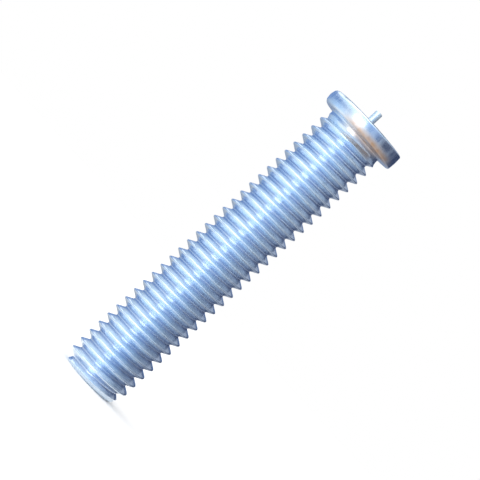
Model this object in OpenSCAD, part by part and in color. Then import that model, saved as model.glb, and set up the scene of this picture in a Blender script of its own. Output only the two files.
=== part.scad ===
// Weld stud with a rolled metric thread, an upset flange and an ignition tip.
// It stands on its threaded end: the axis is Z and the end face lies at Z = 0.
// Sizes are in millimetres and angles in degrees.

/* [Thread] */
// Diameter over the crests of the thread
thread_d = 4.88; // [4.7:0.02:5.1]
// Distance from one crest to the next
pitch = 0.8; // [0.7:0.05:0.9]
// Angle round the axis at which a crest meets the end face's plane
thread_start = 184; // [0:0.5:360]

/* [Threaded end] */
// How far the edge of the flat end face lies below the crests, measured before it is rounded
end_drop = 0.46; // [0.3:0.02:0.6]
// Length of the taper that leads a nut on
lead_l = 0.9; // [0.8:0.1:2]
// Radius on the edge of the end face
end_edge_r = 0.12; // [0.04:0.02:0.2]

/* [Neck] */
// How far the plain neck, which is the blank before rolling, lies below the crests
neck_drop = 0.215; // [0.15:0.005:0.4]
// Length of the plain neck between the thread and the flange
neck_l = 0.3; // [0.3:0.05:1]
// Length over which the thread dies out into the neck
runout_l = 0.7; // [0.4:0.1:1.6]
// Fillet where the neck meets the flange
neck_fillet_r = 0.1; // [0.05:0.01:0.2]

/* [Flange] */
// Length of the stud from its end face to the rim of the weld face
stud_l = 25.3; // [16:0.1:40]
// Diameter of the flange
flange_d = 6.3; // [5.8:0.1:7.5]
// Thickness of the flange at its rim
flange_t = 1.15; // [0.8:0.05:1.4]
// Radius on both edges of the flange
flange_edge_r = 0.15; // [0.05:0.01:0.3]
// Slope of the weld face, which is a shallow cone
weld_angle = 3; // [1:0.5:7]

/* [Ignition tip] */
// Diameter of the tip that strikes the arc
tip_d = 0.55; // [0.45:0.05:0.85]
// Length of the tip above the weld face
tip_l = 0.86; // [0.6:0.02:1]
// Radius on the edge of the tip's end
tip_edge_r = 0.08; // [0.02:0.01:0.15]

/* [Hidden] */

// Steps in one turn of the thread, and in one turn of a round surface
turn_steps = 32;
$fn = 96;

thread_r = thread_d / 2;
end_r = thread_r - end_drop;
neck_r = thread_r - neck_drop;
flange_r = flange_d / 2;
tip_r = tip_d / 2;

// A metric thread has 60 degree flanks, a crest an eighth of a pitch wide and a rounded root.
flank_r = thread_r - 0.5413 * pitch;
root_r = thread_r - 0.6134 * pitch;
profile = [
    [root_r, -0.5],
    [flank_r, -0.375],
    [thread_r, -0.0625],
    [thread_r, 0.0625],
    [flank_r, 0.375]
];
profile_n = len(profile);

// Levels along the axis, from the shoulder of the flange down to the thread and up to the tip
// The rise of the weld face is rounded to a micrometre, so that the levels above it stay whole.
shoulder_z = stud_l - flange_t;
thread_end_z = shoulder_z - neck_l;
runout_z = thread_end_z - runout_l;
weld_rise = round(1000 * (flange_r - flange_edge_r - tip_r) * tan(weld_angle)) / 1000;
tip_z = stud_l + weld_rise;

// The thread is swept a little past both ends; its crests follow a taper at each of them.
sweep_turns = ceil(thread_end_z / pitch) + 4;
sweep_steps = sweep_turns * turn_steps;
lead_taper = (thread_r - end_r) / lead_l;
runout_taper = (thread_r - neck_r) / (0.6 * runout_l);
crest_end_z = thread_end_z - 0.15 * runout_l;

// Largest radius that the thread reaches at a height
function crest_limit(z) =
    min(end_r + lead_taper * z, neck_r + runout_taper * (crest_end_z - z), thread_r);

// One corner of the thread's section, swept to a step along the helix
function thread_point(step, corner) =
    let (angle = thread_start + 360 * step / turn_steps)
    let (z = pitch * (step / turn_steps - 2 + profile[corner][1]))
    let (r = min(profile[corner][0], crest_limit(z)))
    [r * cos(angle), r * sin(angle), z];

// Place of that corner in the list of points; the corner after the last one is a turn higher up
function thread_index(step, corner) =
    corner < profile_n
        ? step * profile_n + corner
        : thread_index(step + turn_steps, corner - profile_n);

// Solid screw, closed at both ends by fans of triangles about the axis
module thread_sweep() {
    points = [
        for (step = [0:sweep_steps], corner = [0:profile_n - 1]) thread_point(step, corner),
        [0, 0, -3 * pitch],
        [0, 0, pitch * sweep_turns]
    ];
    bottom = (sweep_steps + 1) * profile_n;
    top = bottom + 1;
    last = profile_n - 1;
    top_step = sweep_steps - turn_steps;

    // The face from the last corner up to the next turn stops a turn short of the top.
    skin = [
        for (step = [0:sweep_steps - 1], corner = [0:last])
            if (corner < last || step < top_step)
                for (half = [0, 1])
                    half == 0
                        ? [
                            thread_index(step, corner),
                            thread_index(step + 1, corner + 1),
                            thread_index(step + 1, corner)
                        ]
                        : [
                            thread_index(step, corner),
                            thread_index(step, corner + 1),
                            thread_index(step + 1, corner + 1)
                        ]
    ];
    bottom_fan = [
        for (step = [0:turn_steps - 1])
            [bottom, thread_index(step, 0), thread_index(step + 1, 0)],
        for (corner = [0:last])
            [bottom, thread_index(0, corner + 1), thread_index(0, corner)]
    ];
    top_fan = [
        for (step = [top_step:sweep_steps - 1])
            [top, thread_index(step + 1, last), thread_index(step, last)],
        for (corner = [0:last - 1])
            [top, thread_index(sweep_steps, corner), thread_index(sweep_steps, corner + 1)],
        [top, thread_index(top_step, last), thread_index(sweep_steps, 0)]
    ];
    polyhedron(points = points, faces = concat(skin, bottom_fan, top_fan), convexity = 10);
}

// Space that the shank is kept to, from the end face with its rounded edge up into the flange
module shank_space() {
    top_z = shoulder_z + flange_edge_r;
    rotate_extrude() {
        polygon([
            [0, 0],
            [end_r - end_edge_r, 0],
            [end_r - 0.3 * end_edge_r, 0.3 * end_edge_r],
            [end_r + lead_taper * end_edge_r, end_edge_r],
            [flange_r, 2 * end_edge_r],
            [flange_r, top_z],
            [0, top_z]
        ]);
    }
}

// Threaded shank, cut square at its end; its crests sink into the neck below the flange.
module shank() {
    intersection() {
        thread_sweep();
        shank_space();
    }
}

// Half section of the plain neck; below it a cone fills the grooves where the thread dies out.
module neck_section() {
    polygon([
        [0, runout_z - runout_l],
        [2 * root_r - neck_r, runout_z - runout_l],
        [neck_r, thread_end_z],
        [neck_r, shoulder_z + flange_edge_r],
        [0, shoulder_z + flange_edge_r]
    ]);
}

// Half section of the fillet that runs from the neck out onto the flange's shoulder
module fillet_section() {
    translate([neck_r, shoulder_z - neck_fillet_r]) {
        difference() {
            translate([-neck_fillet_r, 0]) {
                square(2 * neck_fillet_r);
            }
            translate([neck_fillet_r, 0]) {
                circle(r = neck_fillet_r);
            }
        }
    }
}

// Half section of the upset flange, with both edges rounded and the shallow cone of its weld face
module flange_section() {
    translate([0, shoulder_z]) {
        square([flange_r - flange_edge_r, flange_t]);
        translate([0, flange_edge_r]) {
            square([flange_r, flange_t - 2 * flange_edge_r]);
        }
        for (level = [flange_edge_r, flange_t - flange_edge_r]) {
            translate([flange_r - flange_edge_r, level]) {
                circle(r = flange_edge_r);
            }
        }
    }
    polygon([
        [0, shoulder_z + flange_edge_r],
        [flange_r - flange_edge_r, shoulder_z + flange_edge_r],
        [flange_r - flange_edge_r, stud_l],
        [tip_r, tip_z],
        [0, tip_z]
    ]);
}

// Half section of the ignition tip, a small pin with a rounded end
module tip_section() {
    translate([0, stud_l - flange_edge_r]) {
        square([tip_r, weld_rise + flange_edge_r + tip_l - tip_edge_r]);
        square([tip_r - tip_edge_r, weld_rise + flange_edge_r + tip_l]);
    }
    translate([tip_r - tip_edge_r, tip_z + tip_l - tip_edge_r]) {
        circle(r = tip_edge_r);
    }
}

// Everything above the thread, upset from the blank in one piece
module head() {
    rotate_extrude() {
        neck_section();
        fillet_section();
        flange_section();
        tip_section();
    }
}

module weld_stud() {
    color("#a9b6c9") {
        union() {
            shank();
            head();
        }
    }
}

weld_stud();
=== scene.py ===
from math import atan2, cos, degrees, hypot, pi, radians, sin, tan

import bmesh
import bpy
from mathutils import Matrix, Vector


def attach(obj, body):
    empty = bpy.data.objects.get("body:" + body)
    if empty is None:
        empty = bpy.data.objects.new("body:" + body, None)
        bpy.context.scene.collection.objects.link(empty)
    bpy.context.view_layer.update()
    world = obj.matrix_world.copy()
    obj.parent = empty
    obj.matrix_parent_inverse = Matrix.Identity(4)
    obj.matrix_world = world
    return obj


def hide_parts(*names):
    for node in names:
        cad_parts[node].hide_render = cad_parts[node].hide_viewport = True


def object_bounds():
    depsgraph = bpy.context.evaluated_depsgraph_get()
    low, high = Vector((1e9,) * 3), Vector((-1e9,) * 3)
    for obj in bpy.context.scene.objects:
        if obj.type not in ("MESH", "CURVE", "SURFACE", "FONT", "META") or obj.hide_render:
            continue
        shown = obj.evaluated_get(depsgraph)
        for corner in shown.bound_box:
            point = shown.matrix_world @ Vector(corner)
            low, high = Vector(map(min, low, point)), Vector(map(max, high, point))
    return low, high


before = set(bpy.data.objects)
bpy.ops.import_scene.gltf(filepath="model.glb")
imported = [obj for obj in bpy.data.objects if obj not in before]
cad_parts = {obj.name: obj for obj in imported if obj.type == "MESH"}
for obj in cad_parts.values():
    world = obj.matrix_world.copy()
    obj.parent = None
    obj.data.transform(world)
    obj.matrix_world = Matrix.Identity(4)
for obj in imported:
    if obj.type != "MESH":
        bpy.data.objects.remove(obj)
cad_low, cad_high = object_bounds()


# The stud: one piece of bright stainless wire. Its flange and tip are upset from the blank in a die, and its
# thread is then rolled between flat dies, which leaves rounded roots and smooth flanks. The free end is cut
# off square.
MM = 0.001
PITCH = 0.8 * MM
THREAD_R = 2.44 * MM
THREAD_START = radians(184)
TURN_STEPS = 96
TURN_DOUBLINGS = 5

# The section of one pitch is a sharp 60 degree tooth and groove, from the middle of one flank to the next
# pitch. Vertex bevels round the crest of the tooth and the root of the groove. The one on the crest lowers it
# by about half of the bevel's width.
FLANK_ANGLE = radians(30)
CREST_BEVEL = 0.17 * MM
CREST_LOSS = 0.507
ROOT_BEVEL = 0.2 * MM
stud_mesh = bmesh.new()
sharp_crest_r = THREAD_R + CREST_LOSS * CREST_BEVEL
sharp_root_r = sharp_crest_r - PITCH / 2 / tan(FLANK_ANGLE)
middle_r = (sharp_crest_r + sharp_root_r) / 2
flank_foot = stud_mesh.verts.new((middle_r, 0, -PITCH / 4))
crest = stud_mesh.verts.new((sharp_crest_r, 0, 0))
root = stud_mesh.verts.new((sharp_root_r, 0, PITCH / 2))
next_foot = stud_mesh.verts.new((middle_r, 0, 3 * PITCH / 4))
stud_mesh.edges.new((flank_foot, crest))
stud_mesh.edges.new((crest, root))
stud_mesh.edges.new((root, next_foot))
for corner, offset, segments in ((crest, CREST_BEVEL, 5), (root, ROOT_BEVEL, 8)):
    bmesh.ops.bevel(
        stud_mesh,
        geom=[corner],
        offset=offset,
        offset_type="OFFSET",
        affect="VERTICES",
        segments=segments,
        profile=0.5,
        material=-1,
    )

# A screw spin sweeps the section round one turn of the right-hand helix. That turn is doubled up the shank
# five times, and each turn is welded to the next.
start = Matrix.Translation((0, 0, -PITCH)) @ Matrix.Rotation(THREAD_START, 4, "Z")
bmesh.ops.transform(stud_mesh, matrix=start, verts=stud_mesh.verts[:])
bmesh.ops.spin(
    stud_mesh,
    geom=stud_mesh.verts[:] + stud_mesh.edges[:],
    cent=(0, 0, 0),
    axis=(0, 0, 1),
    dvec=(0, 0, PITCH / TURN_STEPS),
    angle=2 * pi,
    steps=TURN_STEPS,
)
for doubling in range(TURN_DOUBLINGS):
    turns = stud_mesh.verts[:] + stud_mesh.edges[:] + stud_mesh.faces[:]
    copied = bmesh.ops.duplicate(stud_mesh, geom=turns)["geom"]
    copied_verts = [v for v in copied if isinstance(v, bmesh.types.BMVert)]
    bmesh.ops.translate(stud_mesh, verts=copied_verts, vec=(0, 0, PITCH * 2 ** doubling))
bmesh.ops.remove_doubles(stud_mesh, verts=stud_mesh.verts[:], dist=0.002 * MM)


def softly_least(a, b, blend):
    """The lesser of two radii, with the corner between them rounded over a width."""
    overlap = max(blend - abs(a - b), 0) / blend
    return min(a, b) - overlap * overlap * blend / 4


# The crests follow the blank's taper at the cut end, where the rolling dies squeezed the grooves a little
# deeper. At the other end they sink into the neck while the roots rise to meet it. No taper cuts below the
# core.
END_R = 1.98 * MM
LEAD_L = 0.9 * MM
SQUEEZE_L = 1 * MM
SQUEEZE_DEPTH = 0.12 * MM
NECK_R = 2.225 * MM
NECK_Z = 23.85 * MM
NECK_JOIN = 0.05 * MM
RUNOUT_L = 0.7 * MM
SINK_L = 0.42 * MM
SINK_END_Z = NECK_Z - 0.1 * MM
ROOT_DEPTH = 0.49 * MM
CORE_R = 1.2 * MM
BLEND = 0.05 * MM
for v in stud_mesh.verts:
    z = v.co.z
    full_r = hypot(v.co.x, v.co.y)
    squeeze = min(max(1 - z / SQUEEZE_L, 0), 1)
    r = full_r - SQUEEZE_DEPTH * squeeze * squeeze * (3 - 2 * squeeze)
    lead_r = END_R + (THREAD_R - END_R) * z / LEAD_L
    sink_r = NECK_R + (THREAD_R - NECK_R) * (SINK_END_Z - z) / SINK_L
    fill_r = NECK_R + (THREAD_R - ROOT_DEPTH - NECK_R) * (NECK_Z - z) / RUNOUT_L
    r = softly_least(r, max(lead_r, CORE_R), BLEND)
    r = softly_least(r, max(sink_r, CORE_R), BLEND)
    r = -softly_least(-r, -min(fill_r, NECK_R), BLEND)
    if z > NECK_Z - NECK_JOIN:
        r = NECK_R
    v.co.x *= r / full_r
    v.co.y *= r / full_r

# The shank is cut level at the top of the thread. The cutter left the free end sharp on one side and rolled
# over on the other, so the plane that cuts it there is tilted.
END_EDGE_R = 0.19 * MM
END_EDGE_TILT = 0.08
bmesh.ops.bisect_plane(
    stud_mesh,
    geom=stud_mesh.verts[:] + stud_mesh.edges[:] + stud_mesh.faces[:],
    dist=1e-8,
    plane_co=(0, 0, NECK_Z),
    plane_no=(0, 0, 1),
    clear_outer=True,
)
bmesh.ops.bisect_plane(
    stud_mesh,
    geom=stud_mesh.verts[:] + stud_mesh.edges[:] + stud_mesh.faces[:],
    dist=1e-8,
    plane_co=(0, 0, END_EDGE_R),
    plane_no=Vector((-END_EDGE_TILT, 0, 1)).normalized(),
    clear_inner=True,
)
open_edges = [e for e in stud_mesh.edges if e.is_boundary]
neck_loop = [e for e in open_edges if min(v.co.z for v in e.verts) > NECK_Z / 2]
end_loop = [e for e in open_edges if max(v.co.z for v in e.verts) < NECK_Z / 2]


def next_ring(loop, spot):
    """Extrudes a closed loop of edges and moves each new vertex to the radius and height that spot gives."""
    made = bmesh.ops.extrude_edge_only(stud_mesh, edges=loop)["geom"]
    verts = {v for v in made if isinstance(v, bmesh.types.BMVert)}
    for v in verts:
        turn = atan2(v.co.y, v.co.x)
        r, z = spot(hypot(v.co.x, v.co.y), v.co.z, turn)
        v.co = (r * cos(turn), r * sin(turn), z)
    return [e for e in made if isinstance(e, bmesh.types.BMEdge) and all(v in verts for v in e.verts)]


# End face: the rolled edge is a quarter round with about the loop's own height as its radius, then the face
# goes flat.
QUARTER_STEPS = 6
quarter = [pi / 2 * step / QUARTER_STEPS for step in range(QUARTER_STEPS + 1)]
for before, after in zip(quarter, quarter[1:]):

    def rolled_edge(r, z, turn):
        edge_r = END_EDGE_R + END_EDGE_TILT * END_R * cos(turn)
        return r - edge_r * (cos(before) - cos(after)), max(z - edge_r * (sin(after) - sin(before)), 0)

    end_loop = next_ring(end_loop, rolled_edge)
end_loop = next_ring(end_loop, lambda r, z, turn: (r, 0))
for face_r in (1.4, 1.0, 0.5, 0.15):
    end_loop = next_ring(end_loop, lambda r, z, turn: (face_r * MM, 0))
bmesh.ops.contextual_create(stud_mesh, geom=end_loop)

# Neck and shoulder: the loop at the top of the thread is drawn up ring by ring, through a fillet onto the
# flange.
SHOULDER_Z = 24.15 * MM
FILLET_R = 0.1 * MM
head_loop = next_ring(neck_loop, lambda r, z, turn: (NECK_R, SHOULDER_Z - 2 * FILLET_R))
for a in quarter:
    rise = FILLET_R * sin(a)
    run = FILLET_R * (1 - cos(a))
    head_loop = next_ring(head_loop, lambda r, z, turn: (NECK_R + run, SHOULDER_Z - FILLET_R + rise))
head_loop = next_ring(head_loop, lambda r, z, turn: (NECK_R + 0.35 * MM, SHOULDER_Z))

# Flange: its rim bulges a little. The die filled less on the left, so its edges are rounder there than on the
# right.
FLANGE_R = cad_high[0]
WELD_Z = 25.3 * MM
RIM_BULGE = 0.03 * MM
SHOULDER_LAND = 0.07 * MM


def shoulder_edge_r(turn):
    return (0.24 - 0.14 * cos(turn)) * MM


def weld_edge_r(turn):
    return (0.2 - 0.13 * cos(turn)) * MM


def shoulder_land(r, z, turn):
    return FLANGE_R - shoulder_edge_r(turn) - SHOULDER_LAND, SHOULDER_Z


head_loop = next_ring(head_loop, shoulder_land)
for a in quarter:

    def shoulder_edge(r, z, turn):
        edge_r = shoulder_edge_r(turn)
        return FLANGE_R - RIM_BULGE - edge_r * (1 - sin(a)), SHOULDER_Z + edge_r * (1 - cos(a))

    head_loop = next_ring(head_loop, shoulder_edge)
for share in (0.1, 0.3, 0.5, 0.7, 0.9):

    def rim_band(r, z, turn):
        low = SHOULDER_Z + shoulder_edge_r(turn)
        high = WELD_Z - weld_edge_r(turn)
        return FLANGE_R - RIM_BULGE * (2 * share - 1) ** 2, low + (high - low) * share

    head_loop = next_ring(head_loop, rim_band)
for a in quarter:

    def weld_edge(r, z, turn):
        edge_r = weld_edge_r(turn)
        return FLANGE_R - RIM_BULGE - edge_r * (1 - cos(a)), WELD_Z - edge_r * (1 - sin(a))

    head_loop = next_ring(head_loop, weld_edge)

# Weld face and tip: a shallow cone rises to the foot of the tip, which is a small pin with a rounded end.
TIP_R = 0.275 * MM
TIP_L = 0.86 * MM
TIP_FILLET_R = 0.06 * MM
TIP_EDGE_R = 0.09 * MM
tip_top_z = cad_high[2]
tip_foot_z = tip_top_z - TIP_L
for face_r in (2.7, 2.0, 1.3, 0.7):
    inward = (FLANGE_R - face_r * MM) / (FLANGE_R - TIP_R)
    cone_z = WELD_Z + (tip_foot_z - WELD_Z) * inward
    head_loop = next_ring(head_loop, lambda r, z, turn: (face_r * MM, cone_z))
for a in quarter:
    run = TIP_FILLET_R * (1 - sin(a))
    rise = TIP_FILLET_R * (1 - cos(a))
    head_loop = next_ring(head_loop, lambda r, z, turn: (TIP_R + run, tip_foot_z + rise))
for share in (0.35, 0.7):
    head_loop = next_ring(head_loop, lambda r, z, turn: (TIP_R, tip_foot_z + share * TIP_L))
for a in quarter:
    run = TIP_EDGE_R * (1 - cos(a))
    drop = TIP_EDGE_R * (1 - sin(a))
    head_loop = next_ring(head_loop, lambda r, z, turn: (TIP_R - run, tip_top_z - drop))
head_loop = next_ring(head_loop, lambda r, z, turn: (0.08 * MM, tip_top_z))
bmesh.ops.contextual_create(stud_mesh, geom=head_loop)

bmesh.ops.remove_doubles(stud_mesh, verts=stud_mesh.verts[:], dist=0.0005 * MM)
bmesh.ops.dissolve_degenerate(stud_mesh, dist=1e-8, edges=stud_mesh.edges[:])
bmesh.ops.recalc_face_normals(stud_mesh, faces=stud_mesh.faces[:])
for face in stud_mesh.faces:
    face.smooth = True
stud_data = bpy.data.meshes.new("stud")
stud_mesh.to_mesh(stud_data)
stud_mesh.free()
stud_data.set_sharp_from_angle(angle=radians(40))
stud = bpy.data.objects.new("stud", stud_data)
bpy.context.scene.collection.objects.link(stud)


def linear(hex_colour):
    """An sRGB hex colour as linear red, green, blue and alpha."""
    parts = [int(hex_colour[i:i + 2], 16) / 255 for i in (1, 3, 5)]
    return (*[c / 12.92 if c <= 0.04045 else ((c + 0.055) / 1.055) ** 2.4 for c in parts], 1)


def add_node(tree, kind, inputs=None, output=0, **settings):
    """Adds a node with its settings, gives each named input a value or a link, and returns one output."""
    node = tree.nodes.new(kind)
    for key, value in settings.items():
        setattr(node, key, value)
    for key, value in (inputs or {}).items():
        if isinstance(value, bpy.types.NodeSocket):
            tree.links.new(value, node.inputs[key])
        else:
            node.inputs[key].default_value = value
    return node.outputs[output] if len(node.outputs) else None


# Bright rolled stainless steel: a pale, bluish mirror gone soft, with fine marks round the thread where the
# dies slid, and upset marks along the flange's rim. The roots are painted a shade darker than the flanks, as
# painted shade in the grooves; a dull straw-brown patch under the flange is a painted warm reflection; and
# the tip is painted paler, as a painted highlight. The marks round the axis spread its sheen along the stud.
steel = bpy.data.materials.new("bright_rolled_stainless_steel")
steel.use_nodes = True
tree = steel.node_tree
tree.nodes.clear()
place = add_node(tree, "ShaderNodeTexCoord", output="Object")
height = add_node(tree, "ShaderNodeSeparateXYZ", {"Vector": place}, output="Z")
level = add_node(tree, "ShaderNodeVectorMath", {0: place, 1: (1, 1, 0)}, operation="MULTIPLY")
outward = add_node(tree, "ShaderNodeVectorMath", {0: level}, operation="NORMALIZE")
radius = add_node(tree, "ShaderNodeVectorMath", {0: level}, output="Value", operation="LENGTH")

# The marks are noise, with its grain counted per millimetre round the stud and up it. The die marks run round
# the stud, the upset marks run up it, and the dents are even. Real die marks are finer than the picture can
# show, so theirs are drawn a sixteenth of a millimetre wide.
marks = {}
for name, per_mm_round, per_mm_up in (("die", 1.2, 16), ("upset", 3, 0.3), ("dents", 2.2, 2.2)):
    grain = (per_mm_round / MM, per_mm_round / MM, per_mm_up / MM)
    stretched = add_node(tree, "ShaderNodeMapping", {"Vector": place, "Scale": grain})
    marks[name] = add_node(tree, "ShaderNodeTexNoise", {
        "Vector": stretched,
        "Scale": 1.0,
        "Detail": 2.0,
        "Roughness": 0.55,
    }, output="Fac")

# Bands along the stud, each of which comes in from nothing at one height to full at another, in millimetres.
bands = {}
for name, none_at, full_at in (
    ("above_end", 0.2, 0.5),
    ("below_runout", 23.6, 23.2),
    ("above_runout", 23.5, 24.4),
    ("above_shoulder", 24.05, 24.3),
    ("low_on_rim", 24.85, 24.3),
    ("below_weld_face", 25.42, 25.36),
    # The tip's band carries a painted highlight: a paler shade and a duller sheen.
    ("tip", 25.42, 25.5),
):
    bands[name] = add_node(tree, "ShaderNodeMapRange", {
        "Value": height,
        "From Min": none_at * MM,
        "From Max": full_at * MM,
    }, interpolation_type="SMOOTHSTEP")
# Towards the axis the grooves' roots take a darker shade: painted shade in the grooves.
near_axis = add_node(tree, "ShaderNodeMapRange", {
    "Value": radius,
    "From Min": 2.16 * MM,
    "From Max": 1.98 * MM,
}, interpolation_type="SMOOTHSTEP")

# The painted warm reflection lies low on the flange, on the front and a little to the right, and is uneven.
WARM_REFLECTION_SIDE = (0.37, -0.93, 0)
facing = {0: outward, 1: WARM_REFLECTION_SIDE}
towards_warm_reflection = add_node(tree, "ShaderNodeVectorMath", facing, output="Value", operation="DOT_PRODUCT")
on_warm_reflection_side = add_node(tree, "ShaderNodeMapRange", {
    "Value": towards_warm_reflection,
    "From Min": 0.5,
    "From Max": 1.0,
}, interpolation_type="SMOOTHSTEP")
warm_reflection_patches = add_node(tree, "ShaderNodeMapRange", {
    "Value": marks["dents"],
    "From Min": 0.2,
    "From Max": 0.8,
    "To Min": 0.65,
    "To Max": 1.0,
}, interpolation_type="SMOOTHSTEP")

# Each mask is the product of the bands and sides that bound it.
masks = {}
for name, factors in (
    ("flange", (bands["above_shoulder"], bands["below_weld_face"])),
    ("roots", (bands["above_end"], bands["below_runout"], near_axis)),
    ("warm_reflection", (bands["above_runout"], bands["low_on_rim"], on_warm_reflection_side, warm_reflection_patches)),
):
    masks[name] = factors[0]
    for factor in factors[1:]:
        masks[name] = add_node(tree, "ShaderNodeMath", {0: masks[name], 1: factor}, operation="MULTIPLY")

worn = add_node(tree, "ShaderNodeMapRange", {
    "Value": marks["dents"],
    "From Min": 0.35,
    "From Max": 0.65,
}, interpolation_type="SMOOTHSTEP")
# The shades: a worn one that differs at random, a darker one in the roots that is painted shade, a
# straw-brown one that is a painted warm reflection, and a paler one on the tip that is a painted highlight.
colour = linear("#e4f0fb")
for share, shade in (
    (worn, "#deecf9"),
    (masks["roots"], "#ccdaee"),
    (masks["warm_reflection"], "#d4a57a"),
    (bands["tip"], "#f2fcff"),
):
    tones = {0: share, 6: colour, 7: linear(shade)}
    colour = add_node(tree, "ShaderNodeMix", tones, output=2, data_type="RGBA")

# The marks make the thread and the rim rougher in places; the painted warm reflection under the flange and
# the tip with its painted highlight are duller all over.
rubbed = {0: masks["flange"], 2: marks["die"], 3: marks["upset"]}
rubbing = add_node(tree, "ShaderNodeMix", rubbed, data_type="FLOAT")
sheens = {}
for name, roughest in (("thread", 0.3), ("flange", 0.34)):
    sheens[name] = add_node(tree, "ShaderNodeMapRange", {
        "Value": rubbing,
        "From Min": 0.3,
        "From Max": 0.7,
        "To Min": 0.22,
        "To Max": roughest,
    }, interpolation_type="SMOOTHSTEP")
roughness = sheens["thread"]
for share, sheen in ((masks["flange"], sheens["flange"]), (masks["warm_reflection"], 0.45), (bands["tip"], 0.5)):
    roughness = add_node(tree, "ShaderNodeMix", {0: share, 2: roughness, 3: sheen}, data_type="FLOAT")

relief = add_node(tree, "ShaderNodeMath", {0: rubbing, 1: 0.5, 2: marks["dents"]}, operation="MULTIPLY_ADD")
bump = add_node(tree, "ShaderNodeBump", {"Strength": 0.2, "Distance": 0.008 * MM, "Height": relief})
round_axis = add_node(tree, "ShaderNodeTangent", direction_type="RADIAL", axis="Z")
shader = add_node(tree, "ShaderNodeBsdfPrincipled", {
    "Base Color": colour,
    "Metallic": 1.0,
    "Roughness": roughness,
    "Anisotropic": 0.5,
    "Anisotropic Rotation": 0.25,
    "Tangent": round_axis,
    "Normal": bump,
})
add_node(tree, "ShaderNodeOutputMaterial", {"Surface": shader})
stud_data.materials.append(steel)

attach(stud, "root")
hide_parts("weld_stud")


# The floor: a sheet of plain white paper that the stud stands on. The room and the lamps light it to white,
# and it keeps the stud's soft shadow.
FLOOR_HALF_WIDTH = 0.25
floor_mesh = bmesh.new()
bmesh.ops.create_grid(floor_mesh, x_segments=1, y_segments=1, size=FLOOR_HALF_WIDTH)
floor_data = bpy.data.meshes.new("floor")
floor_mesh.to_mesh(floor_data)
floor_mesh.free()
floor = bpy.data.objects.new("floor", floor_data)
bpy.context.scene.collection.objects.link(floor)
paper = bpy.data.materials.new("white_paper")
paper.use_nodes = True
tree = paper.node_tree
tree.nodes.clear()
matt = add_node(tree, "ShaderNodeBsdfDiffuse", {"Color": linear("#fafafa")})
add_node(tree, "ShaderNodeOutputMaterial", {"Surface": matt})
floor_data.materials.append(paper)


# The studio: an even white room, a low key lamp a little left of the camera, and two soft lamps overhead, one
# of them to the left. All the lamps are aimed at the middle of the stud.
world = bpy.data.worlds.new("white_room")
bpy.context.scene.world = world
world.use_nodes = True
tree = world.node_tree
tree.nodes.clear()
room = add_node(tree, "ShaderNodeBackground", {"Color": linear("#ffffff"), "Strength": 1.0})
add_node(tree, "ShaderNodeOutputWorld", {"Surface": room})

STUD_MIDDLE = Vector((0, 0, 13 * MM))
LAMP_DISTANCE = 0.28


def soft_lamp(name, azimuth, elevation, width, height, energy):
    """An area lamp aimed at the stud; azimuth is counted to the right from the camera, in degrees."""
    data = bpy.data.lights.new(name, "AREA")
    data.shape = "RECTANGLE"
    data.size = width
    data.size_y = height
    data.energy = energy
    lamp = bpy.data.objects.new(name, data)
    bpy.context.scene.collection.objects.link(lamp)
    turn = radians(azimuth)
    rise = radians(elevation)
    away = Vector((sin(turn) * cos(rise), -cos(turn) * cos(rise), sin(rise)))
    lamp.location = STUD_MIDDLE + away * LAMP_DISTANCE
    lamp.rotation_euler = (-away).to_track_quat("-Z", "Y").to_euler()


soft_lamp("key_lamp", azimuth=-20, elevation=8, width=0.15, height=0.09, energy=0.12)
soft_lamp("left_lamp", azimuth=-90, elevation=65, width=0.22, height=0.22, energy=0.15)
soft_lamp("top_lamp", azimuth=-20, elevation=74, width=0.22, height=0.22, energy=0.15)


# Panels round the set: a tent of glowing sheets, bright on the left and blue to dark on the right, which
# bright metal needs to show its form on white. The camera doesn't see them; only reflections show them.
PANEL_STEPS = 72
TENT_R = 0.3
TENT_HEIGHT = 0.6
NEAR_FLOOR_R = 0.04
ABOVE_FLOOR = 0.0002
WHITE = "#f4faff"
PALE = "#d6e8f2"
SKY = "#b4d0ec"
BLUE = "#7896c8"
SLATE = "#868c9a"
DARK = "#3a4460"


def ring_panel(name, near_edge, far_edge, strength, stops):
    """A sheet swept right round the stud from an edge that joins two points (radius, height). Its colour
    passes through the stops, each an azimuth, counted as for the lamps, and a colour."""
    sheet_mesh = bmesh.new()
    ends = [sheet_mesh.verts.new((0, r, z)) for r, z in (near_edge, far_edge)]
    edge = sheet_mesh.edges.new(ends)
    bmesh.ops.spin(
        sheet_mesh,
        geom=ends + [edge],
        cent=(0, 0, 0),
        axis=(0, 0, 1),
        angle=2 * pi,
        steps=PANEL_STEPS,
        use_merge=True,
    )
    shades = sheet_mesh.verts.layers.float_color.new("shade")
    for v in sheet_mesh.verts:
        azimuth = degrees(atan2(v.co.x, -v.co.y))
        for (start, start_colour), (stop, stop_colour) in zip(stops, stops[1:]):
            if start <= azimuth <= stop:
                share = (azimuth - start) / (stop - start)
                pairs = zip(linear(start_colour), linear(stop_colour))
                v[shades] = [a + (b - a) * share for a, b in pairs]
    data = bpy.data.meshes.new(name)
    sheet_mesh.to_mesh(data)
    sheet_mesh.free()
    sheet = bpy.data.objects.new(name, data)
    bpy.context.scene.collection.objects.link(sheet)
    glowing = bpy.data.materials.new(name + "_glowing_sheet")
    glowing.use_nodes = True
    glowing_tree = glowing.node_tree
    glowing_tree.nodes.clear()
    shade = add_node(glowing_tree, "ShaderNodeVertexColor", layer_name="shade")
    glow = add_node(glowing_tree, "ShaderNodeEmission", {"Color": shade, "Strength": strength})
    add_node(glowing_tree, "ShaderNodeOutputMaterial", {"Surface": glow})
    data.materials.append(glowing)
    sheet.visible_camera = False
    sheet.visible_diffuse = False
    sheet.visible_transmission = False
    sheet.visible_shadow = False


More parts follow.
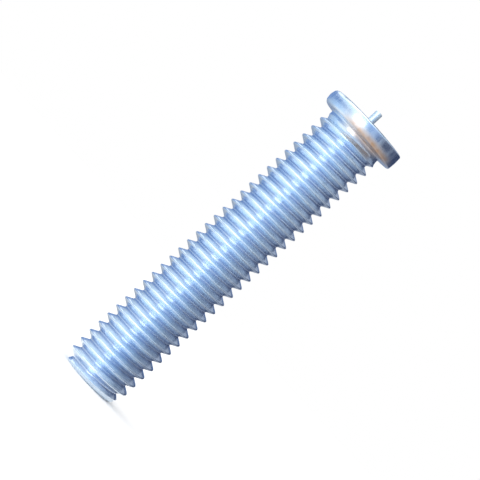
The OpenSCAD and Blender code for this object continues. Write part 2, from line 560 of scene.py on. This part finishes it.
ring_panel("near_floor_panel", (0.004, ABOVE_FLOOR), (NEAR_FLOOR_R, ABOVE_FLOOR), 1.2, (
    (-180, SLATE), (-80, WHITE), (-50, WHITE), (0, SKY), (70, SLATE), (180, SLATE),
))
ring_panel("far_floor_panel", (NEAR_FLOOR_R, ABOVE_FLOOR), (TENT_R, ABOVE_FLOOR), 1.3, (
    (-180, SLATE), (-90, SKY), (-40, WHITE), (50, WHITE), (130, SLATE), (180, SLATE),
))
ring_panel("low_panel", (TENT_R, 0), (TENT_R, 0.04), 1.05, (
    (-180, BLUE), (-70, BLUE), (-25, WHITE), (0, WHITE), (25, BLUE), (55, DARK), (160, DARK), (180, BLUE),
))
ring_panel("middle_panel", (TENT_R, 0.04), (TENT_R, 0.12), 1.0, (
    (-180, BLUE), (-85, BLUE), (-40, WHITE), (0, SKY), (25, BLUE), (60, DARK), (160, DARK), (180, BLUE),
))
ring_panel("high_panel", (TENT_R, 0.12), (TENT_R, 0.24), 1.7, (
    (-180, SLATE), (-130, WHITE), (-90, PALE), (-40, PALE), (0, BLUE), (60, SLATE), (180, SLATE),
))
ring_panel("upper_panel", (TENT_R, 0.24), (TENT_R, TENT_HEIGHT), 1.3, (
    (-180, SLATE), (-135, SLATE), (-95, WHITE), (-60, WHITE),
    (-20, SKY), (60, PALE), (115, SLATE), (180, SLATE),
))
ring_panel("top_panel", (TENT_R, TENT_HEIGHT), (0.002, TENT_HEIGHT), 1.0, ((-180, DARK), (180, DARK)))


# The camera stands close, about level with the middle of the stud, and leans over so that the stud runs up to
# the right. Its lens follows from the size of the stud in a picture 480 pixels wide.
CAMERA_DISTANCE = 150 * MM
CAMERA_Z = 15.2 * MM
AIM_X = -0.055 * MM
AIM_Z = 13.75 * MM
LEAN = radians(47.5)
PIXELS_PER_MM = 15.04
PICTURE_PIXELS = 480
SENSOR_WIDTH = 36
camera_data = bpy.data.cameras.new("camera")
camera_data.sensor_width = SENSOR_WIDTH
camera_data.lens = PIXELS_PER_MM * CAMERA_DISTANCE / MM * SENSOR_WIDTH / PICTURE_PIXELS
camera_data.clip_start = 0.01
camera_data.clip_end = 10
camera = bpy.data.objects.new("camera", camera_data)
bpy.context.scene.collection.objects.link(camera)
camera_at = Vector((AIM_X, -CAMERA_DISTANCE, CAMERA_Z))
look = (Vector((AIM_X, 0, AIM_Z)) - camera_at).to_track_quat("-Z", "Y").to_matrix().to_4x4()
camera.matrix_world = Matrix.Translation(camera_at) @ look @ Matrix.Rotation(LEAN, 4, "Z")
bpy.context.scene.camera = camera
bpy.context.scene.view_settings.view_transform = "Standard"
